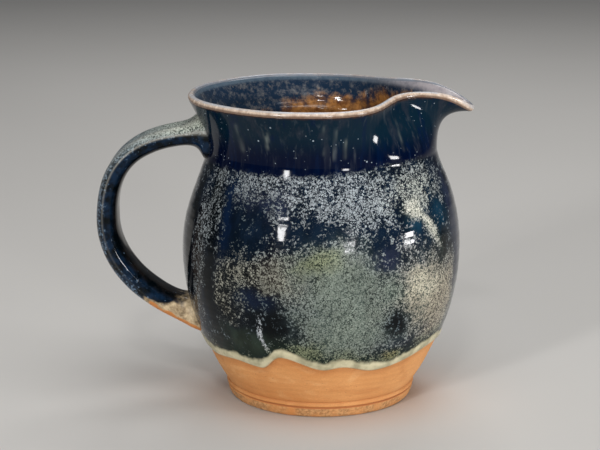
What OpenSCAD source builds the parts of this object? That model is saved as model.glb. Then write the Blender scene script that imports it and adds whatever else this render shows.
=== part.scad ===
// Wheel-thrown stoneware pitcher with a pinched spout and a pulled strap handle.
// Millimetres. Z is up, the pitcher stands on z = 0 and its axis is the Z axis.
// The spout points along +X and the handle along -X.

/* [Foot] */
// Radius of the foot ring where it stands on the table
foot_r = 50.3; // [46:0.1:51]
// Radius of the foot ring at its widest, below the body
foot_bulge_r = 51.2; // [50.8:0.1:53]
// Inside radius of the foot ring
foot_inner_r = 42; // [36:1:44]
// Height of the foot ring
foot_h = 8.8; // [7:0.1:9]
// Depth of the turned hollow under the floor
foot_recess = 4.5; // [3:0.1:5]
// Height of the fine groove turned round the foot
groove_z = 6; // [5:0.1:6.2]
// Depth of that groove
groove_depth = 0.8; // [0.3:0.1:1.5]

/* [Body] */
// Radius of the body just above the foot
base_r = 50.6; // [49:0.1:51]
// Radius of the belly at its widest
belly_r = 74.7; // [72:0.1:78]
// Height of the widest part of the belly
belly_z = 81.3; // [76:0.1:86]
// Radius of the neck at its narrowest
neck_r = 61.2; // [58:0.1:64]
// Height of the narrowest part of the neck
neck_z = 136; // [134:0.1:138]
// Thickness of the belly wall
wall_belly = 4.5; // [4:0.1:6]
// Thickness of the neck wall
wall_neck = 4; // [3.5:0.1:5]
// Height of the floor inside
floor_z = 11; // [10:0.5:13]

/* [Rim and spout] */
// Radius of the middle of the round lip, away from the spout
rim_r = 68.7; // [66:0.1:71]
// Height of the crest of the lip, away from the spout
rim_z = 165; // [162:0.5:168]
// Half the thickness of the lip
lip_r = 2; // [1.6:0.1:2.4]
// Slope of the flared wall below the lip, from the horizontal
flare_angle = 64; // [56:1:76]
// How far the tip of the spout is pulled out
spout_pull = 19.3; // [12:0.1:22]
// Half angle of the pulled tip, seen from above
spout_angle = 14.7; // [12:0.1:18]
// How far each side of the throat is pinched in
pinch_in = 19.5; // [10:0.5:21]
// Angle from the spout to the middle of each pinch, seen from above
pinch_angle = 38.3; // [34:0.1:44]
// Half width of each pinch, as an angle
pinch_width = 31.5; // [26:0.5:34]
// How far the lip climbs at each pinch
throat_rise = 3.7; // [0:0.1:6]
// How far the lip drops at the tip
tip_drop = 8.8; // [4:0.1:10]

/* [Handle] */
// Half the width of the strap
strap_half_w = 13; // [11:0.5:15]
// Half the thickness of the strap along the top of the handle
strap_top_t = 5; // [4:0.1:6]
// Half the thickness of the strap along the grip
strap_grip_t = 5.9; // [4.5:0.1:6.5]
// Furthest reach of the handle's middle line from the axis
handle_reach = 115; // [110:0.5:120]
// Height of that furthest point
handle_z = 95; // [88:1:102]
// Height of the upper root on the neck
upper_root_z = 142; // [140:0.5:144]
// Height of the lower root on the belly
lower_root_z = 46; // [44:0.5:50]

/* [Glaze] */
// Thickness of the outer glaze on the belly
glaze_t = 0.8; // [0.5:0.1:1]
// Thickness of the glaze where it thins at the lip
glaze_lip_t = 0.2; // [0.1:0.05:0.3]
// Thickness of the liner glaze inside
liner_t = 0.5; // [0.3:0.1:0.8]
// Thickness of the glaze on the handle
handle_glaze_t = 0.5; // [0.3:0.1:0.8]
// Height of the lower edge of the outer glaze
glaze_line_z = 31; // [24:1:34]

/* [Hidden] */
$fn = 72;

clay = [0.82, 0.55, 0.36];
slip = [0.66, 0.44, 0.30];
navy = [0.07, 0.10, 0.20];
speckled = [0.36, 0.44, 0.52];
amber = [0.34, 0.17, 0.08];

around = 72;     // facets round the neck, the spout and the liner
profile_n = 12;  // steps along one curve of the outside profile
cavity_n = 8;    // steps along one curve of the inside profile
wall_n = 10;     // steps up the wall of the neck
lip_n = 6;       // steps round the lip
strap_n = 20;    // facets round the strap
path_n = 18;     // steps along each half of the handle

// Radii of the cavity: its floor, its widest part and the neck.
cavity_floor_r = 38;
cavity_r = belly_r - glaze_t - wall_belly;
throat_r = neck_r - glaze_t - wall_neck;
// Where the floor is let into the foot ring.
seat_r = 46;
// Small chamfers that take the sharpness off the foot.
foot_chamfer = 0.8;

// ---- curves ----

function bezier(a, b, c, d, t) =
    pow(1 - t, 3) * a + 3 * pow(1 - t, 2) * t * b + 3 * (1 - t) * t * t * c + t * t * t * d;

// n + 1 points of a Bezier curve, without the first one when skip is 1.
function curve(a, b, c, d, n, skip = 0) = [for (i = [skip : n]) bezier(a, b, c, d, i / n)];

function backwards(list) = [for (i = [len(list) - 1 : -1 : 0]) list[i]];

// Outside of the glazed belly, from the foot ring up to the neck, as [radius, height].
outer_profile = concat(
    curve([base_r, foot_h], [base_r + 2, foot_h + 4.7], [belly_r, belly_z - 41.3], [belly_r, belly_z],
          profile_n),
    curve([belly_r, belly_z], [belly_r, belly_z + 28.4], [neck_r, neck_z - 9.1], [neck_r, neck_z],
          profile_n, 1));

// The glaze thickens over a few millimetres above its lower edge, so the clay under it stays smooth.
function glaze_at(z) = glaze_t * min(1, max(0, (z - foot_h) / (glaze_line_z - foot_h)));

// Outside of the clay.
clay_profile = [for (p = outer_profile) [p[0] - glaze_at(p[1]), p[1]]];

// Inside of the clay, from the floor up to the neck; inset is the thickness of the liner glaze.
function cavity_profile(inset) = concat(
    curve([cavity_floor_r, floor_z + inset], [cavity_floor_r + 12, floor_z + inset],
          [cavity_r - inset, belly_z - 39], [cavity_r - inset, belly_z], cavity_n),
    curve([cavity_r - inset, belly_z], [cavity_r - inset, belly_z + 27], [throat_r - inset, neck_z - 10],
          [throat_r - inset, neck_z], cavity_n, 1));

// ---- rim and spout, as functions of the angle a from the spout ----

function turn(a) = a > 180 ? a - 360 : a;
function bump(a, middle, width) = exp(-pow((a - middle) / width, 2));
function pinch(a) = bump(turn(a), pinch_angle, pinch_width) + bump(turn(a), -pinch_angle, pinch_width);
function tip(a) = exp(-pow(abs(turn(a)) / spout_angle, 1.8));

// Middle of the round lip, and the slope of the wall that runs into it.
function lip_radius(a) = rim_r + spout_pull * tip(a) - pinch_in * pinch(a);
function lip_height(a) =
    rim_z - lip_r
    + throat_rise * (bump(turn(a), 0.76 * pinch_angle, 29) + bump(turn(a), -0.76 * pinch_angle, 29))
    - tip_drop * bump(turn(a), 0, 0.68 * spout_angle);
function lip_slope(a) = flare_angle - 74 * tip(a) + 40 * pinch(a);

function lip_middle(a) = [lip_radius(a), lip_height(a)];
function along(a) = [cos(lip_slope(a)), sin(lip_slope(a))];
function across(a) = [sin(lip_slope(a)), -cos(lip_slope(a))];

// One side of the neck wall. side is 1 outside and -1 inside; r0 is its radius at the neck and
// half is half the thickness at the lip.
function wall_side(a, side, r0, half) =
    let (top = lip_middle(a) + side * half * across(a))
    curve([r0, neck_z], [r0, neck_z + 10 + 4 * tip(a)], top - (8 + 5 * tip(a)) * along(a), top, wall_n);

function lip_arc(a, half) = [for (i = [1 : lip_n - 1])
    lip_middle(a) + half * (cos(180 * i / lip_n) * across(a) + sin(180 * i / lip_n) * along(a))];

// ---- solids made of rings of points ----

function wrap(a, p) = [p[0] * cos(a), p[0] * sin(a), p[1]];
function angle_of(i) = 360 * i / around;

// A solid skinned over rings that all have the same number of points. Each ring runs anticlockwise as
// seen by someone looking back along the list. A looped solid joins its last ring to its first one.
module ring_solid(rings, looped = false) {
    n = len(rings[0]);
    m = len(rings);
    sides = [for (j = [0 : m - (looped ? 1 : 2)], i = [0 : n - 1])
        [j * n + i, ((j + 1) % m) * n + i, ((j + 1) % m) * n + (i + 1) % n, j * n + (i + 1) % n]];
    triangles = [for (q = sides) each [[q[0], q[1], q[2]], [q[0], q[2], q[3]]]];
    ends = looped ? [] : [[for (i = [0 : n - 1]) i], [for (i = [n - 1 : -1 : 0]) (m - 1) * n + i]];
    polyhedron([for (ring = rings) each ring], concat(triangles, ends), convexity = 8);
}

// Rings round the axis, one for each point of the profiles, where profiles[i] belongs to angle i.
function rings_of(profiles) = [for (j = [0 : len(profiles[0]) - 1])
    [for (i = [0 : around - 1]) wrap(angle_of(i), profiles[i][j])]];

// ---- handle ----

// The middle line has two curves, which meet at the furthest point of the grip.
handle_start = [-68, upper_root_z];
handle_end = [-78, lower_root_z + 2.5];
upper_path = curve(handle_start, [-98, upper_root_z + 1], [-handle_reach - 1, handle_z + 33],
                   [-handle_reach, handle_z], path_n);
lower_path = curve([-handle_reach, handle_z], [-handle_reach + 0.5, handle_z - 20],
                   [-99, lower_root_z + 9], handle_end, path_n, 1);
handle_path = concat(upper_path, lower_path);
path_last = len(handle_path) - 1;

// Direction of the middle line at each of its points.
function path_turn(i) =
    let (d = handle_path[min(i + 1, path_last)] - handle_path[max(i - 1, 0)]) d / norm(d);

// Half sizes of the strap: it thickens down the grip and spreads at both roots.
function root_spread(i) = exp(-pow(i / 4, 2)) + 0.55 * exp(-pow((path_last - i) / 4, 2));
function half_width(i) = strap_half_w + 4 * root_spread(i);
function half_thick(i) =
    strap_top_t + (strap_grip_t - strap_top_t) * min(1, i / path_n) + 3 * root_spread(i);

// The strap's section is a rounded rectangle, as unit offsets [through, sideways].
function rounded(x) = sign(x) * pow(abs(x), 0.75);
strap_section = [for (k = [0 : strap_n - 1])
    [rounded(cos(360 * k / strap_n)), rounded(sin(360 * k / strap_n))]];

function strap_ring(i, grow) =
    let (t = path_turn(i), normal = [t[1], -t[0]], c = handle_path[i])
    [for (s = strap_section)
        let (q = c + normal * s[0] * (half_thick(i) + grow))
        [q[0], s[1] * (half_width(i) + grow), q[1]]];

// Radius of the glazed outside of the pitcher at height z, away from the spout.
skin_table = [for (p = concat(outer_profile, wall_side(180, 1, neck_r, lip_r))) [p[1], p[0]]];
function skin_r(z) = lookup(z, skin_table);

// The footprint of a root on the pitcher: middle height, half width and half height. It is laid
// on the outside of the glaze, where the slip joint comes up flush with it.
upper_root = [upper_root_z, 20, 10];
lower_root = [lower_root_z - 1, 16, 10];
function root_ring(root, size, grow, way) = [for (s = strap_section)
    let (y = s[1] * (root[1] * size + grow), z = root[0] + way * s[0] * (root[2] * size + grow))
    [-sqrt(pow(skin_r(z), 2) - y * y), y, z]];

root_sizes = [0.25, 0.5, 0.75];
function handle_rings(grow) = [for (i = [0 : path_last]) strap_ring(i, grow)];
handle_clay_rings = concat(
    [for (s = root_sizes) root_ring(upper_root, s, 0, 1)],
    [root_ring(upper_root, 1, 0, 1)],
    handle_rings(0),
    [root_ring(lower_root, 1, 0, -1)],
    [for (s = backwards(root_sizes)) root_ring(lower_root, s, 0, -1)]);

function coat_rings(grow) =
    concat([root_ring(upper_root, 1, grow, 1)], handle_rings(grow), [root_ring(lower_root, 1, grow, -1)]);

// A slot through the outside glaze, where bare clay is scored and slipped to take a root.
module slip_window(z, half_w, half_h) {
    translate([0, 0, z]) rotate([0, -90, 0]) linear_extrude(100) {
        square([2 * half_h, 2 * (half_w - half_h)], center = true);
        for (side = [-1, 1]) translate([0, side * (half_w - half_h)]) circle(half_h);
    }
}

module upper_window() slip_window(upper_root_z + 1, 15, 5);
module lower_window() slip_window(lower_root_z - 1, 12, 7);

// ---- coats before the windows are cut ----

belly_coat_z = [for (p = outer_profile) if (p[1] > glaze_line_z) p];
module belly_coat() {
    edge = [lookup(glaze_line_z, [for (p = outer_profile) [p[1], p[0]]]), glaze_line_z];
    outside = concat([edge], belly_coat_z);
    inside = [for (p = outside) [p[0] - glaze_t, p[1]]];
    rotate_extrude() polygon(concat(outside, backwards(inside)));
}

module neck_coat() {
    profiles = [for (i = [0 : around - 1])
        concat(wall_side(angle_of(i), 1, neck_r, lip_r),
               backwards(wall_side(angle_of(i), 1, neck_r - glaze_t, lip_r - glaze_lip_t)))];
    ring_solid(rings_of(profiles), looped = true);
}

// ---- sub-parts ----

// Turned foot ring, with its bevels, the fine groove and the seat for the floor.
module foot_ring() {
    color(clay) rotate_extrude() polygon([
        [foot_inner_r, foot_chamfer], [foot_inner_r + foot_chamfer, 0],
        [foot_r - foot_chamfer, 0], [foot_r, foot_chamfer],
        [foot_bulge_r - 0.2, groove_z - 0.6], [foot_bulge_r - groove_depth, groove_z - 0.2],
        [foot_bulge_r - groove_depth, groove_z + 0.2], [foot_bulge_r, groove_z + 0.7],
        [foot_bulge_r, foot_h - 0.8], [base_r, foot_h],
        [seat_r, foot_h], [seat_r, foot_recess], [foot_inner_r, foot_recess]]);
}

// Thrown floor and belly, up to the narrowest part of the neck.
module body_wall() {
    color(clay) rotate_extrude() polygon(concat(
        [[0, foot_recess], [seat_r, foot_recess], [seat_r, foot_h]],
        clay_profile, backwards(cavity_profile(0)), [[0, floor_z]]));
}

// Flared neck with its round lip, pinched throat and pulled spout.
module neck_and_spout() {
    half = lip_r - glaze_lip_t;
    profiles = [for (i = [0 : around - 1]) let (a = angle_of(i))
        concat(wall_side(a, 1, neck_r - glaze_t, half), lip_arc(a, half),
               backwards(wall_side(a, -1, throat_r, half)))];
    color(clay) ring_solid(rings_of(profiles), looped = true);
}

// Pulled strap, from the neck to the lower belly.
module handle() {
    color(clay) ring_solid(handle_clay_rings);
}

// Slip that fills the upper window, flush with the glaze round it.
module upper_joint() {
    color(slip) intersection() {
        neck_coat();
        upper_window();
    }
}

// Slip that fills the lower window.
module lower_joint() {
    color(slip) intersection() {
        belly_coat();
        lower_window();
    }
}

// Speckled glaze on the outside of the belly.
module belly_glaze() {
    color(speckled) difference() {
        belly_coat();
        lower_window();
    }
}

// Dark blue glaze on the outside of the neck and the spout.
module neck_glaze() {
    color(navy) difference() {
        neck_coat();
        upper_window();
    }
}

// Liner glaze, poured over the floor and the whole inside up to the lip.
module liner_glaze() {
    face = lip_r - glaze_lip_t;
    profiles = [for (i = [0 : around - 1]) let (a = angle_of(i))
        concat([[foot_chamfer, floor_z + liner_t]], cavity_profile(liner_t),
               [for (k = [1 : wall_n]) wall_side(a, -1, throat_r - liner_t, lip_r)[k]],
               backwards([for (k = [1 : wall_n]) wall_side(a, -1, throat_r, face)[k]]),
               backwards(cavity_profile(0)), [[foot_chamfer, floor_z]])];
    color(amber) ring_solid(backwards(rings_of(profiles)));
}

// Dark blue glaze round the handle.
module handle_glaze() {
    color(navy) ring_solid(concat(coat_rings(handle_glaze_t), backwards(coat_rings(0))), looped = true);
}

foot_ring();
body_wall();
neck_and_spout();
handle();
upper_joint();
lower_joint();
belly_glaze();
neck_glaze();
liner_glaze();
handle_glaze();
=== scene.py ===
"""Looks of a hand-thrown stoneware pitcher with a pinched spout and a pulled strap handle.

Shapes are worked out in millimetres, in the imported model's frame: Z is up, the spout points along +X
and the handle along -X. Angles round the axis are in degrees from the spout, and the side towards the
camera is at -90. A mesh turns into metres when it is made.
"""
import math

import bmesh
import bpy
import numpy as np
from mathutils import Matrix, Vector, noise


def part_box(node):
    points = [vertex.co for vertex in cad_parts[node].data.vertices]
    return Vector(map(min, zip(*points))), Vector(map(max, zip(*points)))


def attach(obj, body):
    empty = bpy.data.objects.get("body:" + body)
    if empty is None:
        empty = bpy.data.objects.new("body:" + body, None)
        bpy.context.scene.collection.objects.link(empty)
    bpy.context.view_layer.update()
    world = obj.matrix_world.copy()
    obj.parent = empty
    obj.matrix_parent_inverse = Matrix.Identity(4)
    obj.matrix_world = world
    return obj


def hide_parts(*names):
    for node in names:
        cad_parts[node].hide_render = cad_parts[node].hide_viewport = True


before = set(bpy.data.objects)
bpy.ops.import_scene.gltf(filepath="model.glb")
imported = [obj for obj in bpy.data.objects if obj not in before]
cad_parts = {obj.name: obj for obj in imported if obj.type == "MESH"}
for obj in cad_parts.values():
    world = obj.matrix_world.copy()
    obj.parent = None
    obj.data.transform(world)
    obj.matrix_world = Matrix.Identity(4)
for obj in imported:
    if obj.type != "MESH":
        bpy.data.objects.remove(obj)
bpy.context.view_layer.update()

MM = 0.001
COLUMNS = 384


def box_mm(node):
    """The lowest and highest corners of a CAD node, in millimetres."""
    return [np.array(corner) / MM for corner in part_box(node)]


# ---------------------------------------------------------------- sizes, in millimetres

BELLY_R = box_mm("belly_glaze")[1][1]
NECK_Z = box_mm("body_wall")[1][2]
FOOT_H = box_mm("foot_ring")[1][2]
FLOOR_UNDER_Z = box_mm("body_wall")[0][2]
FLOOR_Z = box_mm("liner_glaze")[0][2]
STRAP_HALF_W = 13.0
GLAZE_T = 0.8
LINER_T = 0.5
WALL_T = 4.5
BASE_R = 50.6
BELLY_Z = 81.3
NECK_R = 61.2
THROAT_R = 56.4
CAVITY_R = BELLY_R - GLAZE_T - WALL_T
FLOOR_R = 38.0
FOOT_INNER_R = 42.0
GROOVE_Z = 6.05
RIM_R = 68.7
RIM_Z = 165.0
LIP_R = 2.0


# ---------------------------------------------------------------- curves

def bezier(a, b, c, d, t):
    """Points of a cubic Bezier curve at the parameters t. The corners may be arrays of points."""
    a, b, c, d = (np.asarray(p, float) for p in (a, b, c, d))
    t = np.asarray(t, float).reshape((-1,) + (1,) * a.ndim)
    return (1 - t) ** 3 * a + 3 * (1 - t) ** 2 * t * b + 3 * (1 - t) * t * t * c + t ** 3 * d


def smoothstep(low, high, x):
    """0 at low, 1 at high, and smooth between them. low may be above high."""
    t = np.clip((x - low) / (high - low), 0, 1)
    return t * t * (3 - 2 * t)


def look_up(table, x):
    """The second value of a table of pairs, read off at x between its first values."""
    return np.interp(x, *zip(*table))


def two_curves(first, second, steps=80):
    """Points along two Bezier curves that meet."""
    t = np.linspace(0, 1, steps)
    return np.vstack([bezier(*first, t), bezier(*second, t)[1:]])


OUTER = two_curves(
    [(BASE_R, FOOT_H), (BASE_R + 2, FOOT_H + 4.7), (BELLY_R, BELLY_Z - 41.3), (BELLY_R, BELLY_Z)],
    [(BELLY_R, BELLY_Z), (BELLY_R, BELLY_Z + 28.4), (NECK_R, NECK_Z - 9.1), (NECK_R, NECK_Z)])
CAVITY = two_curves(
    [(FLOOR_R, FLOOR_Z), (FLOOR_R + 12, FLOOR_Z), (CAVITY_R, BELLY_Z - 39), (CAVITY_R, BELLY_Z)],
    [(CAVITY_R, BELLY_Z), (CAVITY_R, BELLY_Z + 27), (THROAT_R, NECK_Z - 10), (THROAT_R, NECK_Z)])


def outer_radius(z):
    """Radius of the glazed belly at height z."""
    return np.interp(z, OUTER[:, 1], OUTER[:, 0])


def profile_normal(z):
    """Outward normal of the belly's outline at height z, as (radial, up)."""
    slope = outer_radius(z + 0.4) - outer_radius(z - 0.4)
    length = np.hypot(0.8, slope)
    return 0.8 / length, -slope / length


# ---------------------------------------------------------------- lip and spout, by angle from the spout

SPOUT_ANGLE = 14.7
PINCH_ANGLE = 38.3
PINCH_WIDTH = 31.5


def turned(angle):
    """The same angle, from -180 to 180 degrees."""
    return (np.asarray(angle, float) + 180) % 360 - 180


def bump(angle, middle, width):
    """A smooth bump of height 1 at the middle angle."""
    return np.exp(-((turned(angle) - middle) / width) ** 2)


def pinch(angle):
    """How much the throat is pinched in, 1 at each pinch."""
    return bump(angle, PINCH_ANGLE, PINCH_WIDTH) + bump(angle, -PINCH_ANGLE, PINCH_WIDTH)


def tip(angle):
    """How much the lip is pulled out, 1 at the tip of the spout."""
    return np.exp(-np.abs(turned(angle) / SPOUT_ANGLE) ** 1.8)


def lip_middle(angle):
    """Middle of the round lip, as (radius, height). A thrown rim is never quite level."""
    rise = bump(angle, 0.76 * PINCH_ANGLE, 29) + bump(angle, -0.76 * PINCH_ANGLE, 29)
    waver = 0.15 * np.sin(3 * np.radians(angle) + 1) + 0.1 * np.sin(7 * np.radians(angle)) - 0.35
    radius = RIM_R + 18.9 * tip(angle) - 19.5 * pinch(angle)
    height = RIM_Z - LIP_R + 3.7 * rise - 8.8 * bump(angle, 0, 0.68 * SPOUT_ANGLE) + waver
    return np.stack([radius, height], axis=-1)


def lip_directions(angle):
    """Unit vectors along the wall at the lip, and across it towards the outside."""
    slope = np.radians(64 - 74 * tip(angle) + 14 * pinch(angle))
    return (np.stack([np.cos(slope), np.sin(slope)], -1), np.stack([np.sin(slope), -np.cos(slope)], -1))


def neck_wall(angle, side, radius, half, t):
    """One side of the neck, from NECK_Z at t = 0 up to the lip at t = 1. side is 1 outside, -1 inside."""
    along, across = lip_directions(angle)
    top = lip_middle(angle) + side * half * across
    start = np.stack([np.full_like(angle, radius), np.full_like(angle, NECK_Z)], -1)
    up = start + np.stack([np.zeros_like(angle), 10 + 4 * tip(angle)], -1)
    under_lip = top - (8 + 5 * tip(angle))[:, None] * along
    return bezier(start, up, under_lip, top, t)


# ---------------------------------------------------------------- meshes

def angles(columns=COLUMNS):
    """The angle of each column of points round a turned piece."""
    return np.arange(columns) * 360.0 / columns


def lean(z):
    """How far the shoulder leans towards the spout at height z."""
    return 0.8 * np.exp(-((z - 115) / 18) ** 2)


def wrap(radius_height, angle):
    """(rows, columns, 2) radii and heights turned into (rows, columns, 3) points round the axis."""
    a = np.radians(angle)
    r, z = radius_height[..., 0], radius_height[..., 1]
    return np.stack([r * np.cos(a) + lean(z), r * np.sin(a), z], -1)


def skin(name, rows, looped=False, marks=None):
    """A closed mesh over rows of points that run round the piece. A looped one joins its last row to
    its first; any other is closed by a point in the middle of each end row. marks are named values,
    one number or one colour for each point of the rows."""
    count, around = rows.shape[:2]
    points = rows.reshape(-1, 3)
    j, i = np.meshgrid(np.arange(count if looped else count - 1), np.arange(around), indexing="ij")
    k, n = (j + 1) % count, (i + 1) % around
    quads = np.stack([j * around + i, j * around + n, k * around + n, k * around + i], -1).reshape(-1, 4)
    faces = quads.tolist()
    if not looped:
        ends = np.stack([rows[0].mean(0), rows[-1].mean(0)])
        first, last = len(points), len(points) + 1
        points = np.vstack([points, ends])
        base = (count - 1) * around
        faces += [[first, (q + 1) % around, q] for q in range(around)]
        faces += [[last, base + q, base + (q + 1) % around] for q in range(around)]
    mesh = bpy.data.meshes.new(name)
    mesh.from_pydata((points * MM).tolist(), [], faces)
    for key, values in (marks or {}).items():
        values = np.asarray(values, np.float32)
        extra = len(points) - count * around
        if values.ndim == 3:
            flat = np.ones((len(points), 4), np.float32)
            flat[:count * around, :3] = values.reshape(-1, 3)
            if extra:
                flat[-extra:, :3] = values[0, 0]
            mesh.attributes.new(key, "FLOAT_COLOR", "POINT").data.foreach_set("color", flat.ravel())
        else:
            flat = np.concatenate([values.ravel(), np.full(extra, values[0, 0], np.float32)])
            mesh.attributes.new(key, "FLOAT", "POINT").data.foreach_set("value", flat)
    mesh.polygons.foreach_set("use_smooth", [True] * len(mesh.polygons))
    tidy = bmesh.new()
    tidy.from_mesh(mesh)
    bmesh.ops.recalc_face_normals(tidy, faces=tidy.faces)
    tidy.to_mesh(mesh)
    tidy.free()
    piece = bpy.data.objects.new(name, mesh)
    bpy.context.scene.collection.objects.link(piece)
    return piece


def add_piece(piece, material, slot, *nodes):
    """Gives a mesh its material, and lets it stand for its CAD nodes. The slot argument is not used."""
    piece.data.materials.append(material)
    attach(piece, "root")
    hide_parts(*nodes)
    return piece


def soft_noise(points, size, seed=0.0):
    """Smooth noise from -1 to 1 at (..., 3) points, with features about size millimetres across."""
    flat = np.asarray(points).reshape(-1, 3) / size + seed
    values = np.fromiter((noise.noise(Vector(p)) for p in flat), float, len(flat))
    return values.reshape(np.asarray(points).shape[:-1])


def rough_noise(points, *layers):
    """Sum of soft noises, each given as (feature size in millimetres, seed, strength)."""
    return sum(soft_noise(points, size, seed) * strength for size, seed, strength in layers)


def throwing_marks(z, angle):
    """The faint spiral ridges that a thrower's fingers leave."""
    turn = np.radians(angle)
    return 0.10 * np.sin(2 * math.pi * z / 6.3 - turn) + 0.05 * np.sin(2 * math.pi * z / 2.9 + turn)


# ---------------------------------------------------------------- colours

def srgb(red, green, blue):
    """A colour as it is seen, 0 to 255, turned into linear light."""
    c = np.array([red, green, blue]) / 255
    return np.where(c <= 0.04045, c / 12.92, ((c + 0.055) / 1.055) ** 2.4)


GRAINS = {
    "frost": srgb(154, 161, 165),
    "grey": srgb(120, 126, 128),
    "beige": srgb(136, 135, 123),
    "cream": srgb(188, 182, 162),
    "chalk": srgb(206, 204, 190),
    "sage": srgb(117, 126, 116),
    "olive": srgb(122, 128, 102),
    "dim": srgb(78, 90, 96),
    "rust": srgb(140, 124, 76),
    "sand": srgb(168, 160, 141),
    "pale": srgb(162, 166, 158),
}
GROUNDS = {
    "navy": srgb(10, 22, 36),
    "ink": srgb(2, 7, 11),
    "blue": srgb(8, 24, 48),
    "violet": srgb(30, 36, 54),
    "teal": srgb(14, 44, 62),
    "moss": srgb(34, 44, 36),
    "slate": srgb(52, 62, 58),
    "umber": srgb(40, 34, 30),
}

# Clouds in the belly glaze: (angle, height, half width in degrees, half height, lean in degrees per
# millimetre, share that is crystals, colour of the crystals, colour of the glass between them).
CLOUDS = [
    (-90, 124, 70, 11, 0, 0.66, "frost", "navy"),
    (-116, 115, 13, 9, 0, 0.62, "grey", "violet"),
    (-96, 104, 15, 10, 0, 0.34, "grey", "navy"),
    (-124, 102, 11, 12, 0, 0.30, "dim", "navy"),
    (-134, 104, 5, 24, 0, 0.26, "dim", "blue"),
    (-142, 112, 7, 24, 0, 0.58, "grey", "ink"),
    (-150, 103, 4, 9, 0, 0.70, "frost", "ink"),
    (-160, 96, 5, 40, 0, 0.20, "dim", "ink"),
    (-124, 79, 22, 13, 0, 0.62, "beige", "ink"),
    (-106, 82, 9, 13, 0, 0.72, "beige", "umber"),
    (-82, 80, 17, 19, 0, 0.92, "sage", "slate"),
    (-91, 91, 9, 8, 0, 0.88, "olive", "moss"),
    (-80, 54, 26, 22, 0, 0.88, "sage", "slate"),
    (-113, 53, 13, 16, 0, 0.28, "dim", "ink"),
    (-114, 69, 7, 5, 0, 0.36, "dim", "blue"),
    (-131, 62, 8, 14, 0, 0.52, "beige", "ink"),
    (-126, 42, 16, 9, 0, 0.28, "dim", "moss"),
    (-151, 78, 4.5, 26, 0, 0.56, "grey", "umber"),
    (-141, 68, 3.4, 26, 0, 0.16, "dim", "ink"),
    (-97, 41, 12, 7, 0, 0.70, "olive", "moss"),
    (-70, 116, 16, 13, 0, 0.68, "frost", "navy"),
    (-64, 101, 7, 9, 0, 0.36, "grey", "navy"),
    (-64, 90, 8, 7, 0, 0.38, "grey", "violet"),
    (-42, 122, 20, 9, 0, 0.68, "pale", "navy"),
    (-54, 109, 5, 8, 0, 0.34, "dim", "navy"),
    (-49, 106, 4, 7, 0, 0.32, "dim", "teal"),
    (-31, 106, 9, 14, 0, 0.36, "grey", "teal"),
    (-31, 89, 7, 9, 0, 0.30, "dim", "ink"),
    (-44, 69, 18, 18, 0, 0.93, "sand", "slate"),
    (-27, 60, 14, 20, 0, 0.88, "sand", "umber"),
    (-46, 74, 9, 8, 0, 0.96, "cream", "slate"),
    (-47.5, 113, 5, 5.5, 0, 1.0, "chalk", "slate"),
    (-39.5, 102, 2.7, 11, -0.54, 1.0, "chalk", "slate"),
    (-58, 55, 7, 10, 0, 0.34, "dim", "ink"),
    (-62, 74, 6, 8, 0, 0.76, "sage", "slate"),
    (-56, 34.5, 6, 3, 0, 0.80, "rust", "moss"),
    (-16, 96, 6, 36, 0, 0.20, "dim", "violet"),
]
BACK_CLOUDS = 18


def back_clouds():
    """More clouds of the same kind for the half that faces away, from a fixed seed."""
    dice = np.random.default_rng(11)
    kinds = [cloud[5:] for cloud in CLOUDS[1:]]
    clouds = [(90, 124, 75, 9, 0, 0.66, "frost", "navy")]
    for _ in range(BACK_CLOUDS):
        place = dice.uniform(-5, 165), dice.uniform(45, 118)
        size = dice.uniform(8, 20), dice.uniform(9, 20)
        clouds.append(place + size + (dice.uniform(-0.2, 0.2),) + kinds[dice.integers(len(kinds))])
    return clouds


def cloud_marks(points, angle, z):
    """Share of crystals, colour of the crystals and colour of the ground at points on the belly."""
    wander = rough_noise(points, (26, 0, 7), (9, 40, 4), (3.5, 44, 3))
    drift = rough_noise(points, (22, 80, 6), (7, 120, 4), (3, 124, 2))
    cover = np.full(z.shape, 0.42)
    grain = np.broadcast_to(GRAINS["grey"], z.shape + (3,)).copy()
    ground = np.broadcast_to(GROUNDS["navy"], z.shape + (3,)).copy()
    for middle, height, half_a, half_z, slant, share, grain_name, ground_name in CLOUDS + back_clouds():
        calm = min(1, half_a / 12)
        up = (z + drift * calm - height) / half_z
        across = turned(angle + wander * calm - middle - slant * (z - height)) / half_a
        weight = np.exp(-(across ** 2 + up ** 2) ** 1.4)
        cover += (share - cover) * weight
        grain += (GRAINS[grain_name] - grain) * weight[..., None]
        ground += (GROUNDS[ground_name] - ground) * weight[..., None]
    return cover, grain, ground


# Crests and troughs of the outer glaze's lower edge, as (angle, height).
GLAZE_LINE = [
    (-180, 33), (-152, 28.5), (-133, 30), (-119, 28.5), (-108, 36.5), (-88, 30), (-80, 31.5), (-64, 28),
    (-24, 35), (24, 29.5), (52, 34), (78, 28.5), (104, 34), (130, 29), (162, 34)]


def glaze_line(angle):
    """Height of the glaze's lower edge, which swings smoothly from each crest to the next trough."""
    where, height = (np.array(column, float) for column in zip(*GLAZE_LINE))
    turn = turned(angle)
    before = np.searchsorted(where, turn, side="right") - 1
    after = (before + 1) % len(where)
    gap = (where[after] - where[before]) % 360
    return height[before] + (height[after] - height[before]) * smoothstep(0, gap, turn - where[before])


# ---------------------------------------------------------------- node helper

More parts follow.
